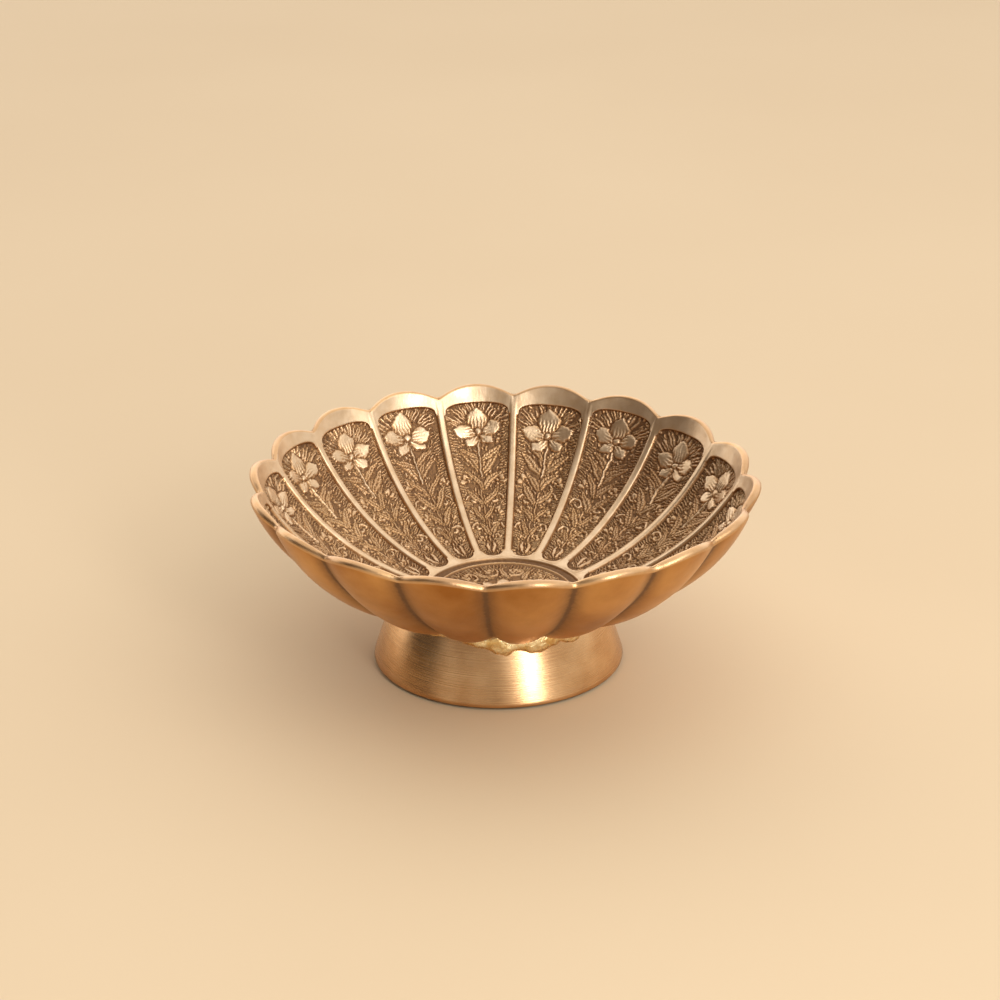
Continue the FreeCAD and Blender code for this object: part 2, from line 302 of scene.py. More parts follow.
def curl(centre, radius, start, turns):
    """A spiral that winds in towards its centre."""
    share = np.linspace(0, 1, CURL_POINTS)
    angle = start + turns * 2 * math.pi * share
    reach = radius * (1 - 0.78 * share)
    return np.stack([centre[0] + reach * np.cos(angle), centre[1] + reach * np.sin(angle)], -1)


def leaf_width(widest, count=LINE_POINTS):
    """A leaf's outline: widest below its middle, and pointed at both ends."""
    share = np.linspace(0, 1, count)
    return widest * np.sin(math.pi * share ** 0.8) ** 0.85 + 0.04


def petal_width(widest, point=0.0):
    """A petal's outline: a narrow base, a full middle and a round end, or one drawn to a point."""
    share = np.linspace(0, 1, LINE_POINTS)
    base = 0.34 + 0.66 * np.sin(math.pi / 2 * np.clip(share / 0.55, 0, 1))
    round_end = np.sqrt(np.clip(1 - (np.clip(share - 0.55, 0, 1) / 0.46) ** 2, 0, 1))
    sharp_end = np.clip(1 - (np.clip(share - 0.55, 0, 1) / 0.46) ** 1.25, 0, 1)
    return widest * base * (round_end * (1 - point) + sharp_end * point) + 0.03


def draw_flower(field, centre, size, source):
    """The big flower at the top of a panel: five chased petals round a boss."""
    x, y = centre
    lean = source.normal(0, 4)
    spokes = [(228, 5.6, 1.9), (312, 5.6, 1.9), (168, 6.9, 2.5), (12, 6.9, 2.5), (90, 7.9, 3.2)]
    for bearing, length, widest in spokes:
        angle = math.radians(bearing + lean + source.normal(0, 3))
        reach = length * size * source.uniform(0.94, 1.06)
        start = (x + 0.9 * math.cos(angle), y + 0.9 * math.sin(angle))
        tip = (x + reach * math.cos(angle), y + reach * math.sin(angle))
        line = bent_line(start, tip, source.normal(0, 0.04))
        point = 0.75 if bearing == 90 else 0.1
        field.blade(line, petal_width(widest * size, point), top=0.62, veins="petal", moat=0.42)
    field.boss((x, y), 1.05 * size, top=0.78)


def draw_blossom(field, centre, size, bearing, source):
    """A small three-lobed blossom."""
    for turn in (-62, 62, 0):
        angle = math.radians(bearing + turn + source.normal(0, 6))
        tip = (centre[0] + size * math.cos(angle), centre[1] + size * math.sin(angle))
        field.blade(bent_line(centre, tip, 0), petal_width(size * 0.4, 0.5), veins="petal", top=0.42)
    field.boss(centre, size * 0.2, top=0.42)


def draw_ladder(field, half_width, low, high, source):
    """Short strokes that stand in from both borders, like the rungs of a ladder."""
    for side in (-1, 1):
        y = low
        while y < high:
            edge = side * (half_width(y) - 0.1)
            length = source.uniform(1.9, 2.9) * min(1, half_width(y) / 5)
            rise = source.uniform(0.3, 1.0)
            line = bent_line((edge, y + rise), (edge - side * length, y), 0, 12)
            field.blade(line, np.full(12, 0.2), top=0.42, moat=0.32)
            y += source.uniform(0.86, 1.02)


def draw_fan(field, centre, source):
    """Strokes that fan out from the flower into the panel's top corners."""
    for bearing in np.arange(18, 164, 6.4):
        angle = math.radians(bearing + source.normal(0, 1.5))
        start = (centre[0] + 5.6 * math.cos(angle), centre[1] + 5.6 * math.sin(angle))
        reach = source.uniform(9.5, 13.5)
        finish = (centre[0] + reach * math.cos(angle), centre[1] + reach * math.sin(angle))
        line = bent_line(start, finish, source.normal(0, 0.05), 20)
        field.blade(line, leaf_width(0.36, 20), top=0.46, moat=0.34)


def draw_leaf_pair(field, base, reach, rise, widest, source, x_limit):
    """Two long leaves that sweep up and out from the stem, no further than x_limit."""
    for side in (-1, 1):
        out = min(reach * source.uniform(0.8, 1.2), x_limit)
        tip = (base[0] + side * out, base[1] + rise * source.uniform(0.8, 1.2))
        line = bent_line(base, tip, side * source.uniform(-0.06, 0.26))
        field.blade(line, leaf_width(widest * source.uniform(0.8, 1.25)), veins="leaf", top=0.46)


def draw_stem(field, points):
    """A thin stem through a few points."""
    count = 60
    spine = np.array(points, float)
    share = np.linspace(0, 1, count)
    place = np.linspace(0, 1, len(spine))
    line = np.stack([np.interp(share, place, spine[:, 0]), np.interp(share, place, spine[:, 1])], -1)
    field.blade(line, np.full(count, 0.34), top=0.4, moat=0.2)


def draw_leaflets(field, half_width, low, high, count, source):
    """Small leaves that crowd the ground between the bigger shapes, all leaning up and out."""
    for place in np.linspace(low, high, count):
        limit = half_width(place) - 1.0
        x = source.uniform(-1, 1) * limit
        lean = math.radians(90 - 46 * x / max(limit, 1) + source.normal(0, 26))
        reach = source.uniform(1.3, 2.6)
        finish = (x + reach * math.cos(lean), place + reach * math.sin(lean))
        line = bent_line((x, place), finish, source.normal(0, 0.18), 12)
        field.blade(line, leaf_width(source.uniform(0.26, 0.42), 12), top=source.uniform(0.3, 0.5), moat=0.34)


def engrave_panel(number, half_width, length):
    """One petal's panel. All share one design, drawn a little differently each time."""
    source = np.random.default_rng(700 + number)
    field = Relief((-11.8, -0.5), (11.8, length + 1.5), source)
    draw_leaflets(field, half_width, 1.0, length - 1.0, 420, source)
    flower_y = length - 9.6 + source.normal(0, 0.4)
    flower_x = source.normal(0, 0.5)
    draw_ladder(field, half_width, 3.5, length - 9, source)
    draw_fan(field, (flower_x, flower_y), source)
    sway = source.normal(0, 0.4, 6)
    draw_stem(field, [(sway[0], 8), (sway[1], 16), (sway[2], 24), (sway[3], 33), (flower_x, flower_y - 2)])
    # from the bottom up: a hanging bud, blossoms and curls, then tiers of leaves
    for side in (-1, 1):
        field.blade(bent_line((side * 1.1, 7.4), (0, 1.9), side * 0.16), leaf_width(0.6), top=0.45)
        draw_blossom(field, (side * source.uniform(1.7, 2.1), 9.0 + source.normal(0, 0.4)), 1.9,
                     90 - side * 28, source)
        centre = (side * 2.9, 14.2 + source.normal(0, 0.5))
        line = curl(centre, 2.0, math.pi / 2 - side * 1.9, side * 1.1)
        field.blade(line, np.full(CURL_POINTS, 0.4), top=0.45)
        centre = (side * source.uniform(2.8, 3.3), 20.3 + source.normal(0, 0.5))
        draw_blossom(field, centre, 2.5, 90 - side * 35, source)
        centre = (side * source.uniform(3.4, 4.0), 25.6 + source.normal(0, 0.5))
        line = curl(centre, 2.3, math.pi / 2 - side * 1.6, side * 0.95)
        field.blade(line, np.full(CURL_POINTS, 0.45), top=0.45)
        centre = (side * source.uniform(4.2, 5.0), 32.5 + source.normal(0, 0.5))
        draw_blossom(field, centre, 2.7, 90 - side * 40, source)
    draw_leaf_pair(field, (sway[1], 10.5), 3.0, 5.6, 0.7, source, half_width(14) - 1.6)
    draw_leaf_pair(field, (sway[2], 17.0), 4.2, 6.4, 0.85, source, half_width(22) - 1.8)
    draw_leaf_pair(field, (sway[3], 23.5), 5.0, 7.2, 1.0, source, half_width(30) - 1.8)
    draw_leaf_pair(field, (sway[4], 29.0), 5.8, 7.4, 1.05, source, half_width(36) - 1.8)
    draw_leaf_pair(field, (flower_x, 35.0), 7.0, 8.4, 1.2, source, half_width(42) - 1.6)
    draw_leaf_pair(field, (flower_x, 36.8), 3.4, 6.0, 0.8, source, half_width(42) - 1.6)
    draw_leaf_pair(field, (flower_x, 40.0), 7.4, 4.6, 0.9, source, half_width(44) - 1.4)
    stem = bent_line((flower_x, 34.0), (flower_x, flower_y - 2.0), source.normal(0, 0.05))
    field.blade(stem, np.full(LINE_POINTS, 0.42), top=0.55, moat=0.3)
    draw_flower(field, (flower_x, flower_y), source.uniform(1.02, 1.14), source)
    field.height += 0.035 * source.normal(size=field.height.shape)
    return field


def engrave_medallion():
    """The floor's round field: a rosette in a wreath of curls, blossoms and leaves."""
    source = np.random.default_rng(41)
    reach = MEDALLION_EDGE + 0.5
    field = Relief((-reach, -reach), (reach, reach), source)
    for _ in range(620):
        angle = source.uniform(0, 2 * math.pi)
        radius = 19.0 * math.sqrt(source.uniform(0, 1))
        x, y = radius * math.cos(angle), radius * math.sin(angle)
        lean = angle + source.normal(0, 0.7)
        finish = (x + 1.6 * math.cos(lean), y + 1.6 * math.sin(lean))
        line = bent_line((x, y), finish, 0.1, 10)
        field.blade(line, leaf_width(0.3, 10), top=source.uniform(0.25, 0.45), moat=0.32)
    for number in range(12):
        angle = number * math.pi / 6 + 0.2
        centre = (14.6 * math.cos(angle + 0.1), 14.6 * math.sin(angle + 0.1))
        field.blade(curl(centre, 3.2, angle + math.pi, 1.0), np.full(CURL_POINTS, 0.42), top=0.45)
        draw_blossom(field, centre, 2.0, math.degrees(angle), source)
        base = (9.5 * math.cos(angle + 0.1), 9.5 * math.sin(angle + 0.1))
        tip = (18.9 * math.cos(angle + 0.34), 18.9 * math.sin(angle + 0.34))
        field.blade(bent_line(base, tip, 0.22), leaf_width(0.85), veins="leaf")
        for step in np.arange(-0.2, 0.24, 0.055):
            start = (17.0 * math.cos(angle + step), 17.0 * math.sin(angle + step))
            finish = (19.1 * math.cos(angle + step), 19.1 * math.sin(angle + step))
            field.blade(bent_line(start, finish, 0, 8), np.full(8, 0.22), top=0.4)
    for number in range(8):
        angle = number * math.pi / 4
        tip = (8.6 * math.cos(angle), 8.6 * math.sin(angle))
        start = (1.2 * math.cos(angle), 1.2 * math.sin(angle))
        field.blade(bent_line(start, tip, 0), petal_width(2.2), top=0.55, veins="petal", moat=0.36)
    field.boss((0, 0), 1.7)
    radius = np.hypot(*np.meshgrid(field.x, field.y))
    field.height = np.where(radius > 19.5, -0.1, field.height)
    field.height += 0.03 * source.normal(size=field.height.shape)
    return field


# ---------------------------------------------------------------- mesh building
class Shell:
    """Rings of points joined into one closed skin."""

    def __init__(self):
        self.points = []
        self.patina = []
        self.polish = []
        self.quads = []
        self.triangles = []
        self.count = 0

    def ring(self, points, patina=0.0, polish=0.0):
        """Add a ring of points and give back their numbers."""
        first = self.count
        self.count += len(points)
        self.points.append(points)
        self.patina.append(np.broadcast_to(patina, len(points)))
        self.polish.append(np.broadcast_to(polish, len(points)))
        return np.arange(first, self.count)

    def join(self, lower, upper):
        """Close the strip between two rings of the same count, or where upper has half of it."""
        if len(lower) == len(upper):
            after, over = np.roll(lower, -1), np.roll(upper, -1)
            self.quads.append(np.stack([lower, after, over, upper], -1))
            return
        even, odd, then = lower[0::2], lower[1::2], np.roll(lower[0::2], -1)
        over = np.roll(upper, -1)
        self.triangles.append(np.stack([even, odd, upper], -1))
        self.triangles.append(np.stack([odd, over, upper], -1))
        self.triangles.append(np.stack([odd, then, over], -1))

    def close(self, ring, centre):
        """Fan a ring in to one point."""
        middle = self.ring(np.array([centre]))
        after = np.roll(ring, -1)
        self.triangles.append(np.stack([ring, after, np.full(len(ring), middle[0])], -1))

    def build(self, name):
        points = np.concatenate(self.points) * MM
        faces = [face for group in self.quads + self.triangles for face in group.tolist()]
        mesh = bpy.data.meshes.new(name)
        mesh.from_pydata(points.tolist(), [], faces)
        for label, values in (("patina", self.patina), ("polish", self.polish)):
            layer = mesh.attributes.new(label, "FLOAT", "POINT")
            layer.data.foreach_set("value", np.concatenate(values).astype(np.float32))
        mesh.polygons.foreach_set("use_smooth", np.ones(len(mesh.polygons), dtype=bool))
        mesh.update()
        piece = bpy.data.objects.new(name, mesh)
        bpy.context.scene.collection.objects.link(piece)
        return piece


def all_round(points, number):
    """Turn one petal's points to petal number's place round the bowl."""
    angle = np.arctan2(points[..., 1], points[..., 0]) + PETAL_TURN + number * SECTOR
    angle = angle + uneven_turn(angle)
    radius = np.hypot(points[..., 0], points[..., 1]) * (1 + 0.004 * np.cos(angle))
    height = points[..., 2] - 0.005 * radius * np.cos(angle) * points[..., 2] / RIM_HEIGHT
    return np.stack([radius * np.cos(angle), radius * np.sin(angle), height], -1)


def underside(x, y):
    """Height of the casting's outside, over any place near the foot."""
    angle = np.arctan2(y, x)
    phase = (angle - uneven_turn(angle) - PETAL_TURN) / SECTOR
    radius = np.hypot(x, y)
    half = radius * math.tan(SECTOR / 2)
    lift = outer_lift(2 * (phase - np.round(phase)) * half, half)
    return BELLY_BOTTOM + BELLY_RADIUS - np.sqrt(BELLY_RADIUS ** 2 - (radius - BELLY_START) ** 2) + lift


def rim_places():
    """For each column of a petal, how far along the middle line the rim lies."""
    guess = np.full((1, COLUMNS), RIM_PLACE)
    for _ in range(12):
        points = petal_points(guess, outer_lift)
        across = points[..., 1]
        arch = TIP_HEIGHT - sag(folded(across, np.abs(across).max(), NOTCH_ROUND), RIM_ARCH)
        guess = guess + (arch - points[..., 2]) / math.cos(RIM_LEAN)
    return guess[0]


def arched(share, drop, power):
    """The fall of an arch from its middle to its sides, which it meets squarely."""
    return drop * (1 - (1 - np.abs(share) ** power) ** (1 / power))


def grid_normals(points):
    """Normals of a grid of points, from its rows and columns."""
    down = np.gradient(points, axis=0)
    along = np.gradient(points, axis=1)
    normal = np.cross(along, down)
    return normal / np.linalg.norm(normal, axis=-1, keepdims=True)


def blurred(values, reach):
    """A grid of values smoothed over a number of its rows and columns."""
    weights = np.hanning(2 * reach + 3)[1:-1]
    weights /= weights.sum()
    for axis in (0, 1):
        padded = np.pad(values, [(reach, reach) if axis == side else (0, 0) for side in (0, 1)], mode="edge")
        values = np.apply_along_axis(np.convolve, axis, padded, weights, mode="valid")
    return values


def inside_grid(number, rim):
    """The inside of one petal, from the rim's inner edge down to the medallion's ring. Gives the
    points and how dark and how rubbed each is."""
    source = np.random.default_rng(90 + number)
    band_end = PANEL_END + source.uniform(-0.9, 0.9)
    top = band_end - arched(COLUMN_SHARE, 4.3, 2.6)
    bottom = PANEL_START + arched(COLUMN_SHARE, 2.4, 2.2)
    span = np.linspace(0, 1, PANEL_ROWS)[:, None]
    band = np.linspace(0, 1, BAND_ROWS + 1)[:-1, None]
    start = rim - RIM_ROUND_IN
    over = top + np.array(EDGE_STEPS[::-1])[:, None]
    under = bottom - np.array(EDGE_STEPS)[:, None]
    skirt = np.linspace(0, 1, SKIRT_ROWS + 1)[1:, None]
    places = np.concatenate([
        start * (1 - band) + over[:1] * band,
        over[:-1],
        top * (1 - span) + bottom * span,
        under[1:],
        under[-1:] * (1 - skirt) + RING_OUT * skirt,
    ])
    fall = np.concatenate([
        np.zeros(BAND_ROWS), EDGE_FALL[:0:-1], np.ones(PANEL_ROWS), EDGE_FALL[1:], np.zeros(SKIRT_ROWS)])
    smooth = petal_points(places, inner_lift)
    half = half_sector(places, inner_lift)
    length = band_end - PANEL_START
    table = np.linspace(PANEL_START, PANEL_START + length + 2, 80)
    widths = half_sector(table, inner_lift) - RIB_EDGE[-1]
    field = engrave_panel(number, lambda y: np.interp(y + PANEL_START, table, widths), length)
    sunk = fall[:, None] * COLUMN_FALL
    height = field.read(smooth[..., 1], places - PANEL_START) * np.clip(sunk * 1.6 - 0.6, 0, 1)
    # a bead runs down the crest of each rib and fades out at both ends
    bead = 0.22 * np.clip(1 - (COLUMN_EDGE / 1.2) ** 2, 0, 1)
    bead = bead * np.clip((band_end + 3.0 - places) / 6.0, 0, 1) * np.clip((places - RING_OUT) / 3.0, 0, 1)
    rise = height - PANEL_DEPTH * sunk + bead
    points = smooth + grid_normals(smooth) * rise[..., None]
    # the first column stays on the plane between two petals, where the next petal begins
    points[:, 0] = smooth[:, 0] + grid_normals(smooth)[:, 0] * np.array([1, 0, 1]) * rise[:, :1]
    deep = blurred(height, 3) - height
    patina = np.clip(sunk * (0.88 + 1.2 * deep - 1.9 * height), 0, 1)
    polish = np.clip(np.maximum(1 - sunk * 1.5, (height - 0.1) / 0.42), 0, 1)
    return points, patina, polish


def outside_grid(rim):
    """The outside of one petal, from the rim's outer edge down to where the bottom goes flat, and
    how dark it is beside the groove: patina in the groove, with a broader painted shade either side."""
    span = np.linspace(0, 1, 74)[:, None] ** 0.92
    places = (rim - RIM_ROUND_OUT) * (1 - span)
    half = half_sector(places, outer_lift)
    from_groove = half - np.abs(column_places(half))
    # painted shade: the broad term darkens a band about 3 mm wide on each side of the groove; the narrow term
    # is the groove's own patina
    patina = 0.68 * np.exp(-(from_groove / 3.0) ** 2) + 0.42 * np.exp(-(from_groove / 0.8) ** 2)
    return petal_points(places, outer_lift), patina


def rim_grid(rim):
    """The rim of one petal: two rounded corners with a flat between, from inside to outside."""
    rows = []
    half = half_sector(rim, outer_lift)
    across = column_places(half[None])[0]
    thick = inner_lift(across, half) - outer_lift(across, half)
    for angle in np.radians([15, 35, 55, 75, 90]):
        back = thick - RIM_ROUND_IN * (1 - math.cos(angle))
        rows.append((rim - RIM_ROUND_IN * (1 - math.sin(angle)), back))
    for angle in np.radians([90, 75, 55, 35, 15]):
        rows.append((rim - RIM_ROUND_OUT * (1 - math.sin(angle)), RIM_ROUND_OUT * (1 - math.cos(angle))))
    return np.stack([petal_points(place[None], outer_lift, back)[0] for place, back in rows])


def make_bowl():
    """The whole casting as one closed skin."""
    shell = Shell()
    rim = rim_places()
    inside = [inside_grid(number, rim) for number in range(PETALS)]
    rings = []

    def add(rows, patina, polish):
        for row, dark, bright in zip(rows, patina, polish):
            ring = shell.ring(row, dark, bright)
            if rings:
                shell.join(rings[-1], ring)
            rings.append(ring)

    def round_bowl(grid):
        return np.concatenate([all_round(grid, number) for number in range(PETALS)], axis=1)

    outside_points, groove_patina_and_shade = outside_grid(rim)
    outside = round_bowl(outside_points[::-1])
    edge = round_bowl(rim_grid(rim)[::-1])
    placed = [all_round(points, number) for number, (points, _, _) in enumerate(inside)]
    within = np.concatenate(placed, axis=1)
    dark = np.concatenate([patina for _, patina, _ in inside], axis=1)
    bright = np.concatenate([polish for _, _, polish in inside], axis=1)
    around = COLUMNS * PETALS
    add(outside, np.tile(groove_patina_and_shade[::-1], (1, PETALS)), [np.zeros(around)] * len(outside))
    add(edge, [np.zeros(around)] * len(edge), [np.full(around, 0.45)] * len(edge))
    add(within, dark, bright)

    # the flat bottom, in to the axis: its rings run the other way round, so that it faces down
    bottom = rings[0]
    angle = np.arctan2(outside[0][:, 1], outside[0][:, 0])
    for step, radius in ((2, 11.4), (4, 10.4), (8, 9.2), (8, 7.0), (8, 5.0), (8, 3.0), (8, 1.4)):
        turned = angle[::step]
        ring = shell.ring(np.stack([
            radius * np.cos(turned), radius * np.sin(turned), np.full(len(turned), BELLY_BOTTOM)], -1))
        shell.join(bottom[::-1] if len(bottom) == len(ring) else np.roll(bottom[::-1], 1),
                   ring[::-1] if len(bottom) == len(ring) else np.roll(ring[::-1], 1))
        bottom = ring
    shell.close(bottom[::-1], (0, 0, BELLY_BOTTOM))
    add_medallion(shell, rings[-1], within[-1])
    return shell.build("bowl_casting")


def add_medallion(shell, last, edge):
    """The ring round the floor, its step down, and the engraved field inside it."""
    field = engrave_medallion()
    angle = np.arctan2(edge[:, 1], edge[:, 0])
    profile = [(24.1, 0.0), (23.8, -0.02), (23.6, -0.1), (23.45, -0.35), (23.35, -0.58)]
    radii = [MEDALLION_EDGE - 0.2 * step for step in range(int((MEDALLION_EDGE - 1.0) / 0.2))]
    profile += [(radius, -MEDALLION_DEPTH) for radius in radii]
    for radius, drop in profile:
        # further in, a ring needs fewer points
        step = 1 if radius > 23.4 else 2 if radius > 12 else 4 if radius > 6 else 8
        turned = angle[::step]
        x, y = radius * np.cos(turned), radius * np.sin(turned)
        sunk = min(1.0, -drop / MEDALLION_DEPTH)
        circle = CIRCLE_HEIGHT * math.exp(-((radius - CIRCLE_RADIUS) / 0.36) ** 2)
        height = (field.read(x, y) if drop == -MEDALLION_DEPTH else 0 * x) + circle
        patina = np.clip(sunk * (0.78 - 1.9 * height), 0, 1)
        polish = np.clip(np.maximum(1 - sunk, (height - 0.1) / 0.42), 0, 1)
        ring = shell.ring(np.stack([x, y, MEDALLION_TOP + drop + height], -1), patina, polish)
        shell.join(last, ring)
        last = ring
    shell.close(last, (0, 0, MEDALLION_TOP - MEDALLION_DEPTH + 0.5))


# ---------------------------------------------------------------- foot and braze
def turned_skin(name, profile, count, wobble):
    """A closed skin turned round the foot's axis, from a closed profile of (radius, height).
    wobble moves the points of one ring, for the unevenness of hand work."""
    shell = Shell()
    angle = np.linspace(0, 2 * math.pi, count, endpoint=False)
    rings = []
    for number, (radius, height) in enumerate(profile):
        reach, rise = wobble(number, angle, np.full(count, radius), np.full(count, height))
        ring = shell.ring(np.stack([FOOT_SHIFT + reach * np.cos(angle), reach * np.sin(angle), rise], -1))
        if rings:
            shell.join(rings[-1], ring)
        rings.append(ring)
    shell.join(rings[-1], rings[0])
    return shell.build(name)


def arc_between(start, finish, swell, count):
    """Points from start to finish on an arc that swells to the right by so many millimetres."""
    start, finish = np.array(start, float), np.array(finish, float)
    chord = finish - start
    out = np.array([chord[1], -chord[0]]) / np.linalg.norm(chord)
    share = np.linspace(0, 1, count)
    return [tuple(start + chord * part + out * swell * 4 * part * (1 - part)) for part in share]


def make_foot():
    """The foot: an upright lip with a soft edge, and a side that swells as it narrows."""
    lip = 3.2
    outer = [(FOOT_BASE - 1.5, 0.0), (FOOT_BASE - 1.4, 0.4), (FOOT_BASE - 0.5, 0.5), (FOOT_BASE - 0.12, 0.72)]
    outer += [(FOOT_BASE, 1.05), (FOOT_BASE - 0.25, 1.9), (FOOT_BASE - 0.48, 2.7)]
    outer += arc_between((FOOT_BASE - 0.65, lip), (FOOT_NECK, FOOT_HEIGHT), 0.3, 40)
    outer += [(FOOT_NECK - 0.3, FOOT_HEIGHT + 0.7), (FOOT_NECK - 0.6, FOOT_HEIGHT + 1.3)]
    inner = [(radius - FOOT_WALL, height) for radius, height in arc_between(
        (FOOT_BASE - 0.5, lip), (FOOT_NECK, FOOT_HEIGHT), 0.3, 16)][::-1]
    inner += [(FOOT_BASE - FOOT_WALL, 1.2), (FOOT_BASE - FOOT_WALL, 0.3), (FOOT_BASE - FOOT_WALL + 0.3, 0.0)]

    def handwork(number, angle, reach, rise):
        return reach * (1 + 0.0006 * wave(angle, 5, 3, 2)), rise

    return turned_skin("foot_turning", outer + inner, 360, handwork)


def make_braze():
    """The braze: a lumpy bead in the corner between foot and bowl, with a run down the foot."""
    count = 12

    def lumpy(number, angle, reach, rise):
        turn = 2 * math.pi * number / count
        lump = 1.0 + 0.45 * wave(angle, 11, 22, 5) + 0.12 * wave(angle, 20 + number, 50, 25)
        front = np.exp(-((np.angle(np.exp(1j * (angle + math.radians(71)))) / 0.6) ** 4))
        size = np.clip(0.9 * lump + 1.1 * front, 0.55, 2.6)
        drop = np.clip(1.5 * front * (1 + 0.5 * wave(angle, 12, 20, 8)), 0, 2.3)
        low = math.sin(turn) < 0
        spread_out = 0.35 * drop if low else 0
        radius = FOOT_NECK + 0.3 + spread_out + size * 0.75 * np.cos(turn)
        height = FOOT_HEIGHT + 0.9 + size * (1.1 + (0.75 * drop if low else 0)) * math.sin(turn)
        # above, the bead wets the casting and stops just inside its skin
        skin = underside(FOOT_SHIFT + radius * np.cos(angle), radius * np.sin(angle)) + 0.45
        height = np.minimum(skin if math.sin(turn) > 0.4 else height, skin)
        return radius, height

    profile = [(FOOT_NECK, FOOT_HEIGHT)] * count
    return turned_skin("braze_bead", profile, 720, lumpy)


# ---------------------------------------------------------------- materials
def new_material(name):
    """A material with nothing but a shader in it."""
    material = bpy.data.materials.new(name)
    material.use_nodes = True
    nodes = material.node_tree.nodes
    nodes.clear()
    output = nodes.new("ShaderNodeOutputMaterial")
    shader = nodes.new("ShaderNodeBsdfPrincipled")
    material.node_tree.links.new(shader.outputs[0], output.inputs["Surface"])
    return material, nodes, material.node_tree.links, shader


def noise(nodes, links, scale, detail, stretch=None):
    """Noise over the object's own coordinates; scale is in features per metre."""
    place = nodes.new("ShaderNodeTexCoord")
    texture = nodes.new("ShaderNodeTexNoise")
    texture.inputs["Scale"].default_value = scale
    texture.inputs["Detail"].default_value = detail
    source = place.outputs["Object"]
    if stretch:
        mapping = nodes.new("ShaderNodeMapping")
        mapping.inputs["Scale"].default_value = stretch
        links.new(source, mapping.inputs["Vector"])
        source = mapping.outputs[0]
    links.new(source, texture.inputs["Vector"])
    return texture.outputs["Fac"]


def ramp(nodes, links, source, stops):
    """A colour ramp: stops are (place, colour)."""
    node = nodes.new("ShaderNodeValToRGB")
    elements = node.color_ramp.elements
    while len(elements) < len(stops):
        elements.new(0.5)
    for element, (place, colour) in zip(elements, stops):
        element.position = place
        element.color = (*colour, 1)
    links.new(source, node.inputs["Fac"])
    return node.outputs["Color"]


def mixed(nodes, links, share, first, second):
    """Two colours mixed by a share; either may be another node's output or a plain colour."""
    node = nodes.new("ShaderNodeMix")
    node.data_type = "RGBA"
    links.new(share, node.inputs["Factor"])
    for name, source in (("A", first), ("B", second)):
        if hasattr(source, "is_linked"):
            links.new(source, node.inputs[name])
        else:
            node.inputs[name].default_value = (*source, 1)
    return node.outputs["Result"]


def worked(nodes, links, operation, first, second):
    """The result of a sum on two values; either may be another node's output or a number."""
    node = nodes.new("ShaderNodeMath")
    node.operation = operation
    for socket, source in zip(node.inputs, (first, second)):
        if hasattr(source, "is_linked"):
            links.new(source, socket)
        else:
            socket.default_value = source
    return node.outputs[0]


def spread(nodes, links, source, low, high):
    """A value from 0 to 1, spread between low and high."""
    node = nodes.new("ShaderNodeMapRange")
    node.inputs["To Min"].default_value = low
    node.inputs["To Max"].default_value = high
    links.new(source, node.inputs["Value"])
    return node.outputs[0]


def bumped(nodes, links, height, strength, distance, shader):
    """Give a shader a bump, from a height and the distance in metres that it stands for."""
    node = nodes.new("ShaderNodeBump")
    node.inputs["Strength"].default_value = strength
    node.inputs["Distance"].default_value = distance
    links.new(height, node.inputs["Height"])
    links.new(node.outputs[0], shader.inputs["Normal"])


def cast_brass():
    """Antiqued brass: dark patina in the engraving, bright where hands rub it."""
    material, nodes, links, shader = new_material("cast_brass")
    patina = nodes.new("ShaderNodeAttribute")
    patina.attribute_name = "patina"
    polish = nodes.new("ShaderNodeAttribute")
    polish.attribute_name = "polish"
    clouds = noise(nodes, links, 38, 5)
    tone = ramp(nodes, links, clouds, [(0.33, (0.41, 0.175, 0.044)), (0.64, (0.70, 0.385, 0.142))])
    scuffs = noise(nodes, links, 260, 4)
    worn = ramp(nodes, links, scuffs, [(0.3, (0.64, 0.445, 0.265)), (0.7, (0.76, 0.57, 0.38))])
    rubbed = mixed(nodes, links, polish.outputs["Fac"], tone, worn)
    speckle = noise(nodes, links, 900, 3)
    # the patina attribute is real patina in the engraving and, on the outside, also painted shade beside the
    # grooves
    depth = worked(nodes, links, "MULTIPLY", patina.outputs["Fac"], spread(nodes, links, speckle, 0.7, 1.35))
    colour = mixed(nodes, links, depth, rubbed, (0.23, 0.128, 0.066))
    links.new(colour, shader.inputs["Base Color"])
    shader.inputs["Metallic"].default_value = 1.0
    rough = worked(nodes, links, "ADD", spread(nodes, links, noise(nodes, links, 240, 4), 0.27, 0.42),
                   worked(nodes, links, "MULTIPLY", depth, 0.3))
    rough = worked(nodes, links, "ADD", rough, worked(nodes, links, "MULTIPLY", polish.outputs["Fac"], 0.05))
    links.new(rough, shader.inputs["Roughness"])
    # fine grain over slow unevenness, with brush marks that run up the wall
    grain = noise(nodes, links, 1500, 3, (1.0, 1.0, 0.12))
    dents = noise(nodes, links, 110, 2)
    surface = worked(nodes, links, "ADD", worked(nodes, links, "MULTIPLY", grain, 0.16), dents)
    bumped(nodes, links, surface, 0.4, 0.0006, shader)
    return material


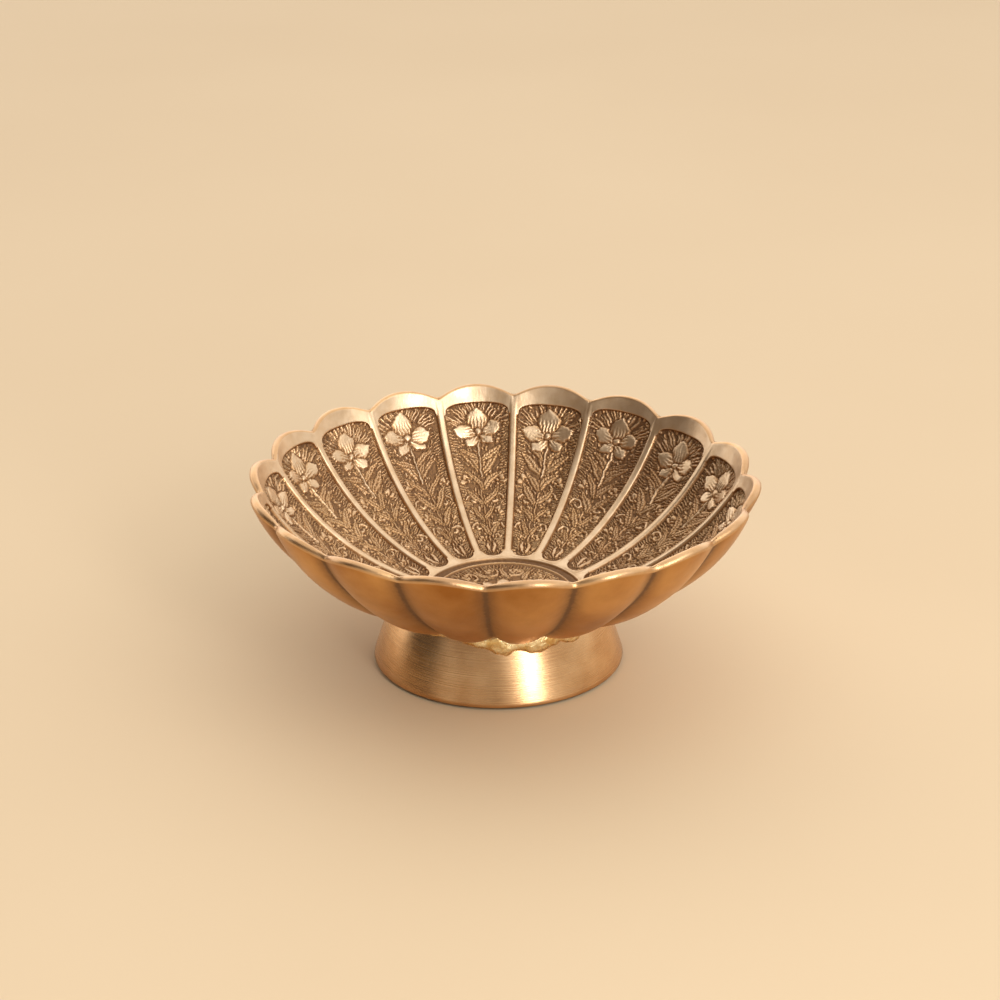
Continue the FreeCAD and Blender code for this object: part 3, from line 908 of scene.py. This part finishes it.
def turned_brass():
    """Lathe-turned brass: fine rings round the axis."""
    material, nodes, links, shader = new_material("turned_brass")
    clouds = noise(nodes, links, 75, 5)
    tone = ramp(nodes, links, clouds, [(0.35, (0.52, 0.28, 0.12)), (0.65, (0.70, 0.43, 0.215))])
    # painted contact shadow: the colour darkens to near black along the very bottom edge, where the foot
    # meets the floor
    place = nodes.new("ShaderNodeTexCoord")
    split = nodes.new("ShaderNodeSeparateXYZ")
    links.new(place.outputs["Object"], split.inputs[0])
    painted_contact_shadow = nodes.new("ShaderNodeMapRange")
    painted_contact_shadow.inputs["From Min"].default_value = 0.0005
    painted_contact_shadow.inputs["From Max"].default_value = 0.0011
    links.new(split.outputs["Z"], painted_contact_shadow.inputs["Value"])
    tone = mixed(nodes, links, painted_contact_shadow.outputs[0], (0.06, 0.035, 0.02), tone)
    links.new(tone, shader.inputs["Base Color"])
    shader.inputs["Metallic"].default_value = 1.0
    rings = noise(nodes, links, 30, 4, (0.3, 0.3, 200.0))
    links.new(spread(nodes, links, rings, 0.12, 0.38), shader.inputs["Roughness"])
    bumped(nodes, links, rings, 0.32, 0.0001, shader)
    return material


def braze_metal():
    """Braze: yellower than brass, bright and a little rough where it froze."""
    material, nodes, links, shader = new_material("braze")
    clouds = noise(nodes, links, 300, 4)
    tone = ramp(nodes, links, clouds, [(0.35, (0.80, 0.56, 0.24)), (0.6, (1.0, 0.87, 0.56))])
    links.new(tone, shader.inputs["Base Color"])
    shader.inputs["Metallic"].default_value = 1.0
    links.new(spread(nodes, links, noise(nodes, links, 700, 3), 0.15, 0.4), shader.inputs["Roughness"])
    bumped(nodes, links, noise(nodes, links, 700, 3), 0.7, 0.0006, shader)
    return material


def floor_paint():
    """A plain pale floor."""
    material, nodes, links, shader = new_material("pale_floor")
    clouds = noise(nodes, links, 3, 3)
    tone = ramp(nodes, links, clouds, [(0.3, (0.68, 0.52, 0.335)), (0.7, (0.71, 0.55, 0.36))])
    links.new(tone, shader.inputs["Base Color"])
    shader.inputs["Roughness"].default_value = 0.75
    shader.inputs["Specular IOR Level"].default_value = 0.25
    return material


# ---------------------------------------------------------------- the object
def dress(piece, node, material):
    """Give a piece its material, and its place in the part."""
    piece.data.materials.append(material)
    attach(piece, "root")
    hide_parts(node)


dress(make_bowl(), "bowl", cast_brass())
dress(make_foot(), "foot", turned_brass())
dress(make_braze(), "braze_fillet", braze_metal())


# ---------------------------------------------------------------- stage, light and camera
def make_floor():
    bpy.ops.mesh.primitive_plane_add(size=12.0, location=(0, 0, 0))
    floor = bpy.context.object
    floor.name = "floor"
    floor.data.materials.append(floor_paint())


def make_light(name, place, size, power, colour=(1, 1, 1)):
    """A soft lamp that points at the bowl."""
    lamp = bpy.data.lights.new(name, "AREA")
    lamp.shape = "RECTANGLE"
    lamp.size, lamp.size_y = size
    lamp.energy = power
    lamp.color = colour
    item = bpy.data.objects.new(name, lamp)
    item.location = place
    item.rotation_euler = (Vector((0, 0, 0.03)) - item.location).to_track_quat("-Z", "Y").to_euler()
    bpy.context.scene.collection.objects.link(item)


def make_world():
    """The room that the metal reflects: walls in light and dark sectors, and a pale ceiling."""
    world = bpy.data.worlds.new("soft_room")
    world.use_nodes = True
    nodes, links = world.node_tree.nodes, world.node_tree.links
    background = nodes["Background"]
    place = nodes.new("ShaderNodeTexCoord")
    split = nodes.new("ShaderNodeSeparateXYZ")
    links.new(place.outputs["Generated"], split.inputs[0])
    # round the room: 0 and 1 face the back wall, 0.5 is the front, above 0.5 is the right
    heading = worked(nodes, links, "ARCTAN2", split.outputs["X"],
                     worked(nodes, links, "MULTIPLY", split.outputs["Y"], -1.0))
    turn = nodes.new("ShaderNodeMapRange")
    turn.inputs["From Min"].default_value = -math.pi
    turn.inputs["From Max"].default_value = math.pi
    links.new(heading, turn.inputs["Value"])
    walls = ramp(nodes, links, turn.outputs[0], [
        (0.0, (1.80, 1.75, 1.67)), (0.185, (1.80, 1.74, 1.66)), (0.225, (0.05, 0.045, 0.04)),
        (0.315, (0.07, 0.06, 0.05)), (0.35, (0.66, 0.62, 0.57)), (0.46, (0.62, 0.58, 0.53)),
        (0.495, (0.24, 0.21, 0.18)), (0.53, (0.75, 0.71, 0.66)), (0.68, (0.66, 0.62, 0.56)),
        (0.80, (1.00, 0.96, 0.90)), (1.0, (1.75, 1.70, 1.62))])
    # higher up, the left and the front of the room are dim
    high_walls = ramp(nodes, links, turn.outputs[0], [
        (0.0, (1.75, 1.70, 1.62)), (0.15, (1.60, 1.55, 1.48)), (0.20, (0.11, 0.075, 0.048)),
        (0.405, (0.16, 0.11, 0.07)), (0.48, (0.55, 0.50, 0.44)), (0.53, (0.90, 0.86, 0.81)),
        (0.75, (0.95, 0.91, 0.86)), (1.0, (1.75, 1.70, 1.62))])
    higher = ramp(nodes, links, split.outputs["Z"], [(0.26, (0, 0, 0)), (0.40, (1, 1, 1))])
    walls = mixed(nodes, links, higher, walls, high_walls)
    upward = ramp(nodes, links, split.outputs["Z"], [(0.68, (0, 0, 0)), (0.94, (1, 1, 1))])
    sky = mixed(nodes, links, upward, walls, (0.53, 0.49, 0.445))
    # the camera itself sees a plain pale wall in every direction
    ray = nodes.new("ShaderNodeLightPath")
    seen = mixed(nodes, links, ray.outputs["Is Camera Ray"], sky, (0.80, 0.77, 0.73))
    links.new(seen, background.inputs["Color"])
    background.inputs["Strength"].default_value = 1.09
    bpy.context.scene.world = world


def make_camera():
    """A long lens, looking down at the bowl from in front."""
    pitch = math.radians(23.52)
    heading = math.radians(0.05)
    roll = math.radians(0.27)
    data = bpy.data.cameras.new("camera")
    data.sensor_width = 36.0
    data.lens = 100.2
    camera = bpy.data.objects.new("camera", data)
    turn = Matrix.Rotation(-heading, 4, "Z") @ Matrix.Rotation(math.pi / 2 - pitch, 4, "X")
    turn = turn @ Matrix.Rotation(-roll, 4, "Z")
    camera.matrix_world = Matrix.Translation((FOOT_SHIFT * MM, -0.749, 0.3761)) @ turn
    bpy.context.scene.collection.objects.link(camera)
    bpy.context.scene.camera = camera


make_floor()
make_world()
make_light("window", (0.70, -1.20, 0.50), (0.28, 0.85), 8.5)
make_light("front_glow", (0.95, -0.90, 1.25), (1.4, 1.0), 6.6, (1.0, 0.97, 0.93))
make_light("ceiling", (0.1, 0.1, 1.8), (1.8, 1.8), 6.5)
make_camera()
bpy.context.scene.view_settings.view_transform = "Standard"
